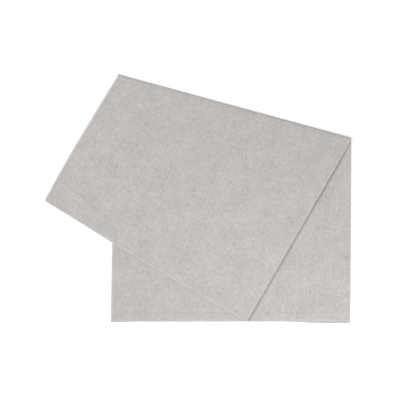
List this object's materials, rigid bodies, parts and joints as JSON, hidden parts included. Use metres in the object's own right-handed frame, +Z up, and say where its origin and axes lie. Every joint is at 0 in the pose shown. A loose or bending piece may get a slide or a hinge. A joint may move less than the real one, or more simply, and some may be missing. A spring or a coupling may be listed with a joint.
{
  "type": "table runner",
  "caption": "Hemmed woven table runner, doubled end to end and turned over along a diagonal fold, lying flat.",
  "frame": {"origin": "centre of the folded runner's outline in plan, on the surface that it lies on", "axes": "+Z up out of the surface, +X along the longest extent and roughly along the diagonal fold, +Y from the free hemmed ends towards the diagonal fold"},
  "size_m": [0.5876, 0.475, 0.0075],
  "materials": {
    "linen_cloth": "matt plain weave with slubbed linen-look yarns, light warm grey",
    "hem_cloth": "the same matt plain weave, turned in and pressed",
    "sewing_thread": "matt spun polyester sewing thread in the cloth's colour"
  },
  "bodies": {
    "lower_leaf": {"bottom_ply": "linen_cloth", "bottom_left_hem": "hem_cloth", "bottom_right_hem": "hem_cloth", "bottom_end_hem": "hem_cloth", "bottom_left_seam": "sewing_thread", "bottom_right_seam": "sewing_thread", "bottom_end_seam": "sewing_thread", "second_ply": "linen_cloth", "second_left_hem": "hem_cloth", "second_right_hem": "hem_cloth", "second_end_hem": "hem_cloth", "second_left_seam": "sewing_thread", "second_right_seam": "sewing_thread", "second_end_seam": "sewing_thread", "outer_fold": "linen_cloth", "outer_fold_hems": "hem_cloth", "inner_fold": "linen_cloth", "inner_fold_hems": "hem_cloth"},
    "upper_leaf": {"third_ply": "linen_cloth", "third_left_hem": "hem_cloth", "third_right_hem": "hem_cloth", "third_left_seam": "sewing_thread", "third_right_seam": "sewing_thread", "top_ply": "linen_cloth", "top_left_hem": "hem_cloth", "top_right_hem": "hem_cloth", "top_left_seam": "sewing_thread", "top_right_seam": "sewing_thread", "mid_fold": "linen_cloth", "mid_fold_hems": "hem_cloth"}
  },
  "joints": [
    {"name": "diagonal_fold", "type": "hinge", "parent": "lower_leaf", "child": "upper_leaf", "pos_m": [0.06878, 0.17214, 0.00375], "axis": [-0.9641, 0.2656, 0], "range_deg": [0, 180], "deforming": ["outer_fold", "outer_fold_hems", "inner_fold", "inner_fold_hems"]}
  ]
}
